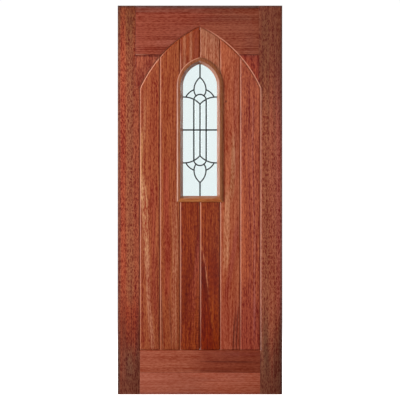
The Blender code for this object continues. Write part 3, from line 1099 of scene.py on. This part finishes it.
@dataclass
class LeadCames:
    """The tulip leading: round-edged lead cames, soldered where they meet.

    Heights are measured from the crossbar and reaches from the centre line.
    """

    window: Lancet
    depth: float = 0.008
    straight_width: float = 0.0075
    curved_width: float = 0.0065
    rounding: float = 0.32
    border_reach: float = 0.00675
    side_line: float = 0.168
    swag_reach: float = 0.080
    swag_drop: float = 0.037
    mullion_reach: float = 0.0315
    cup_top: float = 0.1815
    bud_base_reach: float = 0.020
    bud_reach: float = 0.0306
    bud_widest: float = 0.205
    bud_tip: float = 0.268
    petal_reach: float = 0.072
    petal_slope: float = math.radians(20)
    solder_radius: float = 0.0043
    solder_proud: float = 0.0007

    def build(self, finish: Material) -> None:
        """Models the whole lattice as one piece and dresses it.

        Args:
            finish: The lead.
        """
        runs = self._border() + self._lines()
        runs += [self._solder(x, z) for x, z in self._joints()]
        bpy.ops.object.select_all(action="DESELECT")
        for run in runs:
            run.select_set(True)
        lattice = runs[0]
        bpy.context.view_layer.objects.active = lattice
        bpy.ops.object.join()
        lattice.name = "soldered_cames"
        smooth(lattice, 40)
        fit(lattice, finish, "lead", "lead_came")

    @property
    def valley(self) -> float:
        """The height of the V between the swags."""
        return self.side_line - self.swag_drop

    @property
    def mullion_top(self) -> float:
        """The height where an outer upright meets its swag."""
        radius = (self.swag_reach ** 2 + self.swag_drop ** 2) / (2 * self.swag_drop)
        reach = self.swag_reach - self.mullion_reach
        return self.side_line - radius + math.sqrt(radius ** 2 - reach ** 2)

    @property
    def bud_base(self) -> float:
        """The height where a bud's side meets the cup."""
        drop = self.cup_top - self.mullion_top
        radius = (self.mullion_reach ** 2 + drop ** 2) / (2 * drop)
        return self.cup_top - radius + math.sqrt(radius ** 2 - self.bud_base_reach ** 2)

    def _joints(self) -> list[Point]:
        """Lists the places where cames meet, inside the border.

        Returns:
            The x and z of each on the door.
        """
        joints = [(0.0, 0.0), (self.mullion_reach, 0.0), (-self.mullion_reach, 0.0)]
        for up in (1, -1):
            joints += [(0.0, up * self.valley), (0.0, up * self.bud_tip)]
            for across in (1, -1):
                joints += [
                    (across * self.mullion_reach, up * self.mullion_top),
                    (across * self.bud_base_reach, up * self.bud_base),
                    (across * self.bud_reach, up * self.bud_widest),
                    (across * self.petal_reach, up * self.side_line),
                ]
        return [(MIDDLE + x, self.window.crossbar + z) for x, z in joints]

    def _lines(self) -> list[Object]:
        """Lays every came inside the border.

        Returns:
            The cames, each its own object.
        """
        reach = self.window.half_width + self.border_reach
        head = self.window.apex - self.window.crossbar + self.border_reach
        foot = self.window.sill - self.window.crossbar - self.border_reach
        wide, narrow = self.straight_width, self.curved_width
        runs = [self._straight((-reach, 0.0), (reach, 0.0), wide),
                self._straight((0.0, -self.valley), (0.0, self.valley), wide)]
        for up, end in ((1, head), (-1, foot)):
            swag = (self.swag_reach, up * self.side_line)
            mullion = (self.mullion_reach, up * self.mullion_top)
            side = (self.bud_reach, up * self.bud_widest)
            turn = up * math.pi / 2
            quarter = [
                self._straight(swag, (reach, up * self.side_line), narrow),
                self._arc(swag, math.pi, (0.0, up * self.valley), narrow),
                self._straight((self.mullion_reach, 0.0), mullion, wide),
                self._arc((0.0, up * self.cup_top), 0.0, mullion, narrow),
                self._arc(side, -turn, (self.bud_base_reach, up * self.bud_base), narrow),
                self._arc(side, turn, (0.0, up * self.bud_tip), narrow),
                self._arc(side, -up * self.petal_slope,
                          (self.petal_reach, up * self.side_line), narrow),
            ]
            runs += quarter + [mirrored(run, "came_left") for run in quarter]
            runs.append(self._straight((0.0, up * self.bud_tip), (0.0, end), wide))
        return runs

    def _border(self) -> list[Object]:
        """Lays the cames round the edge of the light, under the beads.

        Returns:
            The cames, each its own object.
        """
        window, wide = self.window, self.straight_width
        reach = window.half_width + self.border_reach
        low = window.sill - window.crossbar - self.border_reach
        spring = window.springing - window.crossbar
        tip = math.sqrt((window.radius + self.border_reach) ** 2
                        - (window.radius - window.half_width) ** 2) + spring
        left = self._straight((-reach, low), (-reach, spring), wide)
        arch = self._arc((-reach, spring), math.pi / 2, (0.0, tip), wide)
        foot = self._straight((-reach, low), (reach, low), wide)
        return [left, arch, foot, mirrored(left, "came_right"), mirrored(arch, "came_arch_right")]

    def _leaf(self, start: Point, heading: float, width: float) -> Object:
        """Lays the came's cross-section at the start of a run.

        Args:
            start: The reach and height of the run's start.
            heading: The direction of the run, as an angle up from +x.
            width: The width of the leaf.

        Returns:
            The flat section, with rounded corners, square to the run.
        """
        piece = flat_section("came", (0.0, 0.0, 0.0), width, self.depth)
        with editing(piece):
            bpy.ops.mesh.bevel(offset=width * self.rounding, segments=3, affect="VERTICES")
        piece.rotation_euler = (0.0, math.pi / 2 - heading, 0.0)
        piece.location = (MIDDLE + start[0], 0.0, self.window.crossbar + start[1])
        settle(piece)
        return piece

    def _straight(self, start: Point, end: Point, width: float) -> Object:
        """Runs a straight came between two places.

        Args:
            start: Its reach and height at one end.
            end: Its reach and height at the other.
            width: The width of its leaf.

        Returns:
            The came.
        """
        across, up = end[0] - start[0], end[1] - start[1]
        piece = self._leaf(start, math.atan2(up, across), width)
        draw_out(piece, (across, 0.0, up))
        close_up(piece)
        return piece

    def _arc(self, start: Point, heading: float, end: Point, width: float) -> Object:
        """Bends a came along the arc that leaves its start in one direction.

        Args:
            start: Its reach and height at the start.
            heading: Its direction there, as an angle up from +x.
            end: Its reach and height at the end.
            width: The width of its leaf.

        Returns:
            The came.
        """
        across, up = end[0] - start[0], end[1] - start[1]
        turn = math.atan2(up, across) - heading
        turn = math.atan2(math.sin(turn), math.cos(turn))
        radius = math.hypot(across, up) / 2 / math.sin(turn)
        centre = (MIDDLE + start[0] - math.sin(heading) * radius, 0.0,
                  self.window.crossbar + start[1] + math.cos(heading) * radius)
        piece = self._leaf(start, heading, width)
        swing_round(piece, centre, 2 * turn, 12)
        return piece

    def _solder(self, x: float, z: float) -> Object:
        """Drops a low round blob of solder on a joint, on both faces.

        Args:
            x: The joint's x on the door.
            z: The joint's height on the door.

        Returns:
            The blob.
        """
        bpy.ops.object.select_all(action="DESELECT")
        bpy.ops.mesh.primitive_uv_sphere_add(segments=16, ring_count=8, radius=1.0)
        piece = bpy.context.object
        piece.scale = (self.solder_radius, self.depth / 2 + self.solder_proud, self.solder_radius)
        piece.location = (x, 0.0, z)
        settle(piece)
        return piece


@dataclass
class WindowGlass:
    """The twenty pieces of glass: bevelled clear panes and stippled tulip pieces."""

    bevel_width: float = 0.009
    bevel_drop: float = 0.0012
    widest_share: float = 0.3
    pane_names: tuple[str, ...] = ("pane_1", "pane_2", "pane_3", "pane_4")
    tulip_names: tuple[str, ...] = ("cup", "bud", "petal_left", "petal_right",
                                    "corner_left", "corner_right")

    def build(self, clear: Material, textured: Material) -> None:
        """Models and dresses every piece of glass.

        Args:
            clear: The glass of the long panes.
            textured: The glass of the tulips and corners.
        """
        for half in ("upper", "lower"):
            for name in self.pane_names:
                piece = merged_copy(f"glass_{half}_{name}", f"{half}_{name}_bevelled")
                self._bevel_front(piece)
                fit(piece, clear, "clear_glass", f"glass_{half}_{name}")
            for name in self.tulip_names:
                piece = merged_copy(f"glass_{half}_{name}", f"{half}_{name}_stippled")
                fit(piece, textured, "textured_glass", f"glass_{half}_{name}")

    def _bevel_front(self, piece: Object) -> None:
        """Grinds a shallow bevel down each long side of a pane's front face.

        Args:
            piece: The pane.
        """
        xs = [vertex.co.x for vertex in piece.data.vertices]
        left, right = min(xs), max(xs)
        front = min(vertex.co.y for vertex in piece.data.vertices)
        width = min(self.bevel_width, (right - left) * self.widest_share)
        # The cut lines themselves stay in the front face
        beside = width * 0.9
        with editing(piece):
            for place in (left + width, right - width):
                bpy.ops.mesh.select_all(action="SELECT")
                bpy.ops.mesh.bisect(plane_co=(place, 0.0, 0.0), plane_no=(1.0, 0.0, 0.0))
            pick_points(piece, lambda co: co.y < front + NEARLY
                        and not left + beside < co.x < right - beside)
            bpy.ops.transform.translate(value=(0.0, self.bevel_drop, 0.0))


def plank_woods() -> dict[str, Hardwood]:
    """Describes the planks' woods.

    Returns:
        The wood of each plank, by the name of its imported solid.
    """
    upright, level = Grain.UPRIGHT, Grain.LEVEL
    mottled, flame = Figure.MOTTLED, Figure.FLAME
    return {
        "hinge_stile": Hardwood(
            "Interlocked lauan, hinge stile", "#933F22", upright, mottled, 0.8, 0.02, 1.0,
            (Streak((0.022, 0.95), (0.024, -0.9), 0.022, "#9C3E22", 0.6),
             Streak((0.060, 0.95), (0.062, -0.9), 0.036, "#8A4A2A", 0.55),
             Streak((0.056, -0.52), (0.056, -0.76), 0.12, "#8E3218", 0.9)),
            (Shade("Z", -0.40, -0.93, "#68301D", 0.95), Shade("Z", 0.70, 0.98, "#793418", 0.9),
             # Painted shade along the hinge edge and along the top edge
             Shade("X", 0.018, 0.010, "#793C24", 1.0), Shade("Z", 0.976, 0.985, "#6E3424", 1.0))),
        "lock_stile": Hardwood(
            "Interlocked lauan, lock stile", "#924428", upright, mottled, 0.72, 0.02, 2.0,
            (Streak((0.818, 0.70), (0.818, -0.6), 0.022, "#98402C", 0.6),
             Streak((0.752, 0.95), (0.752, -0.9), 0.034, "#864628", 0.5)),
            (Shade("Z", -0.45, -0.95, "#65311D", 0.95), Shade("Z", 0.25, 0.85, "#6F331D", 0.95),
             # Painted shade along the lock edge and along the top edge
             Shade("X", 0.821, 0.838, "#6C3A2A", 0.85), Shade("Z", 0.976, 0.985, "#764030", 0.8))),
        "top_rail": Hardwood(
            "Straight-grained lauan, top rail", "#883A25", level, seed=3.0, contrast=0.53,
            waviness=0.012, bevel_highlight=0.75, bevel_highlight_below=0.86,
            marks=(Streak((0.15, 0.80), (0.45, 0.81), 0.020, "#A0503A", 0.4),
                   Streak((0.40, 0.92), (0.72, 0.93), 0.025, "#7C3A28", 0.4)),
            shades=(Shade("X", 0.35, 0.55, "#873F27", 0.9),
                    Shade("Z", 0.945, 0.99, "#683A2D", 0.95),
                    # Painted shade along the top edge
                    Shade("Z", 0.976, 0.985, "#74382A", 0.8))),
        "spandrel_left": Hardwood(
            "Straight-grained lauan, left spandrel", "#924025", seed=4.0, contrast=0.85,
            # The dark band at the top is painted shadow under the joint with the top rail
            shades=(Shade("Z", 0.725, 0.733, "#6A2614", 0.95),)),
        "spandrel_right": Hardwood(
            "Straight-grained lauan, right spandrel", "#8A311A", seed=5.0, contrast=0.85,
            # The dark band at the top is painted shadow under the joint with the top rail
            bevel_highlight=0.75, shades=(Shade("Z", 0.728, 0.741, "#6A2E20", 0.6),)),
        "bottom_rail_upper_plank": Hardwood(
            "Straight-grained lauan, upper foot plank", "#974930", level, seed=6.0,
            contrast=0.42, waviness=0.008, bevel_highlight=0.0,
            marks=(Streak((0.43, -0.822), (0.70, -0.826), 0.009, "#662616", 0.6),
                   Streak((0.40, -0.869), (0.60, -0.872), 0.008, "#662616", 0.5),
                   Streak((0.55, -0.787), (0.72, -0.785), 0.016, "#924232", 0.5)),
            shades=(Shade("X", 0.35, 0.47, "#883922", 1.0),)),
        "bottom_rail_lower_plank": Hardwood(
            "Straight-grained lauan, lower foot plank", "#994C35", level, seed=7.0,
            contrast=0.35, waviness=0.006,
            shades=(Shade("X", 0.35, 0.55, "#A55036", 1.0),
                    # Painted shade along the foot edge
                    Shade("Z", -0.977, -0.986, "#884636", 0.9))),
        "board_1": Hardwood(
            "Straight-grained lauan, board 1", "#954523", seed=8.0,
            marks=(Streak((0.140, 0.52), (0.136, 0.30), 0.014, "#A8643E", 0.4),
                   Streak((0.183, 0.52), (0.183, 0.26), 0.030, "#8A361A", 0.6),
                   Streak((0.124, 0.36), (0.126, -0.02), 0.014, "#B0703F", 0.55),
                   Streak((0.127, 0.10), (0.150, -0.32), 0.026, "#BE7E50", 0.7),
                   Streak((0.152, -0.28), (0.176, -0.76), 0.020, "#B46E4A", 0.6),
                   Streak((0.172, 0.10), (0.196, -0.60), 0.018, "#8E3420", 0.6))),
        "board_2": Hardwood(
            "Straight-grained lauan, board 2", "#934320", seed=9.0, contrast=0.62,
            marks=(Streak((0.248, 0.2), (0.252, -0.5), 0.026, "#943422", 0.6),
                   Streak((0.290, 0.0), (0.286, -0.72), 0.022, "#B46A46", 0.65),
                   Streak((0.222, -0.45), (0.226, -0.76), 0.008, "#6E3221", 0.6),
                   Streak((0.262, -0.5), (0.270, -0.76), 0.008, "#7A3725", 0.55))),
        "board_3_above_window": Hardwood(
            "Striped lauan, board 3 over the window", "#8C3818", seed=10.0, contrast=0.5,
            marks=(Streak((0.337, 0.85), (0.337, 0.50), 0.014, "#AC6846", 0.5),
                   Streak((0.368, 0.88), (0.369, 0.60), 0.012, "#B06C4A", 0.6),
                   Streak((0.394, 0.88), (0.394, 0.60), 0.012, "#8C3826", 0.4))),
        "board_3_below_window": Hardwood(
            "Flame-figured lauan, board 3", "#822D0B", upright, flame, 0.78, 0.03, 11.0,
            shades=(Shade("Z", -0.1, -0.7, "#712001", 0.9),),
            flame_slope=0.18, flame_colour="#9A402A", ripple=3.0),
        "board_4_above_window": Hardwood(
            "Straight-grained lauan, board 4 over the window", "#A05A3B", seed=12.0,
            contrast=0.6),
        "board_4_below_window": Hardwood(
            "Flame-figured lauan, board 4", "#85310F", upright, flame, 0.78, 0.03, 13.0,
            marks=(Streak((0.428, -0.28), (0.453, -0.50), 0.024, "#621404", 0.85),
                   Streak((0.482, -0.26), (0.496, -0.48), 0.045, "#721A02", 0.75),
                   Streak((0.425, -0.22), (0.447, -0.33), 0.0048, "#B46640", 0.5),
                   Streak((0.447, -0.31), (0.459, -0.43), 0.0048, "#B86E48", 0.65),
                   Streak((0.459, -0.42), (0.482, -0.66), 0.005, "#9A5538", 0.35)),
            shades=(Shade("Z", -0.2, -0.7, "#822700", 0.95),),
            flame_slope=0.118, flame_colour="#701A04", ripple=0.8),
        "board_5": Hardwood(
            "Straight-grained lauan, board 5", "#A34D2C", seed=14.0, contrast=0.56,
            marks=(Streak((0.588, 0.32), (0.572, 0.02), 0.020, "#B07A50", 0.5),
                   Streak((0.556, 0.04), (0.546, -0.34), 0.024, "#BC7850", 0.6),
                   Streak((0.604, -0.12), (0.552, -0.50), 0.022, "#93392A", 0.6),
                   Streak((0.604, 0.65), (0.590, 0.10), 0.018, "#9C4832", 0.4),
                   Streak((0.598, -0.60), (0.588, -0.78), 0.008, "#63291B", 0.75),
                   Streak((0.612, -0.56), (0.604, -0.78), 0.007, "#63291B", 0.7),
                   # A pin knot beside the window
                   Streak((0.5555, 0.508), (0.5555, 0.497), 0.010, "#5C2612", 0.75)),
            shades=(Shade("Z", -0.38, -0.62, "#9B442A", 0.95),)),
        "board_6": Hardwood(
            "Straight-grained lauan, board 6", "#9D4323", seed=15.0, contrast=0.85,
            marks=(Streak((0.668, 0.6), (0.672, -0.5), 0.010, "#8C3A26", 0.5),
                   Streak((0.690, 0.5), (0.694, -0.7), 0.010, "#A4563F", 0.5)),
            shades=(Shade("Z", -0.30, -0.62, "#903720", 0.95),)),
    }


def bead_woods() -> dict[str, Material]:
    """Makes the glazing beads' woods.

    Returns:
        The wood on the left, on the right and at the sill.
    """
    return {
        # The left and right beads are lit and shaded copies of one wood: each base tone is matched
        # to the light on its side, and the left has the stronger painted highlight
        "left": Hardwood("Lauan glazing bead, left", "#884A28", contrast=0.35, seed=20.0,
                         bevel_highlight=0.85, lacquer_ior=1.42).make(),
        "right": Hardwood("Lauan glazing bead, right", "#8E4E2A", contrast=0.35, seed=22.0,
                          bevel_highlight=0.5, lacquer_ior=1.42).make(),
        "sill": Hardwood("Lauan sill bead", "#A85D2D", Grain.LEVEL, contrast=0.35, seed=21.0,
                         bevel_highlight=0.0, lacquer_ior=1.5).make(),
    }


def main() -> None:
    """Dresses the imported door."""
    logging.basicConfig(level=logging.INFO, format="%(name)s: %(message)s")
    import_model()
    Studio().build()
    Joinery().build(plank_woods())
    window = Lancet()
    GlazingBeads(window).build(bead_woods())
    LeadCames(window).build(LeadFinish().make())
    clear = GlassFinish("Clear bevelled glass", "#EAF5F5", 0.02)
    textured = GlassFinish("Stippled glass", "#E7F3F3", 0.12, stipple=0.5)
    WindowGlass().build(clear.make(), textured.make())


if __name__ == "__main__":
    main()
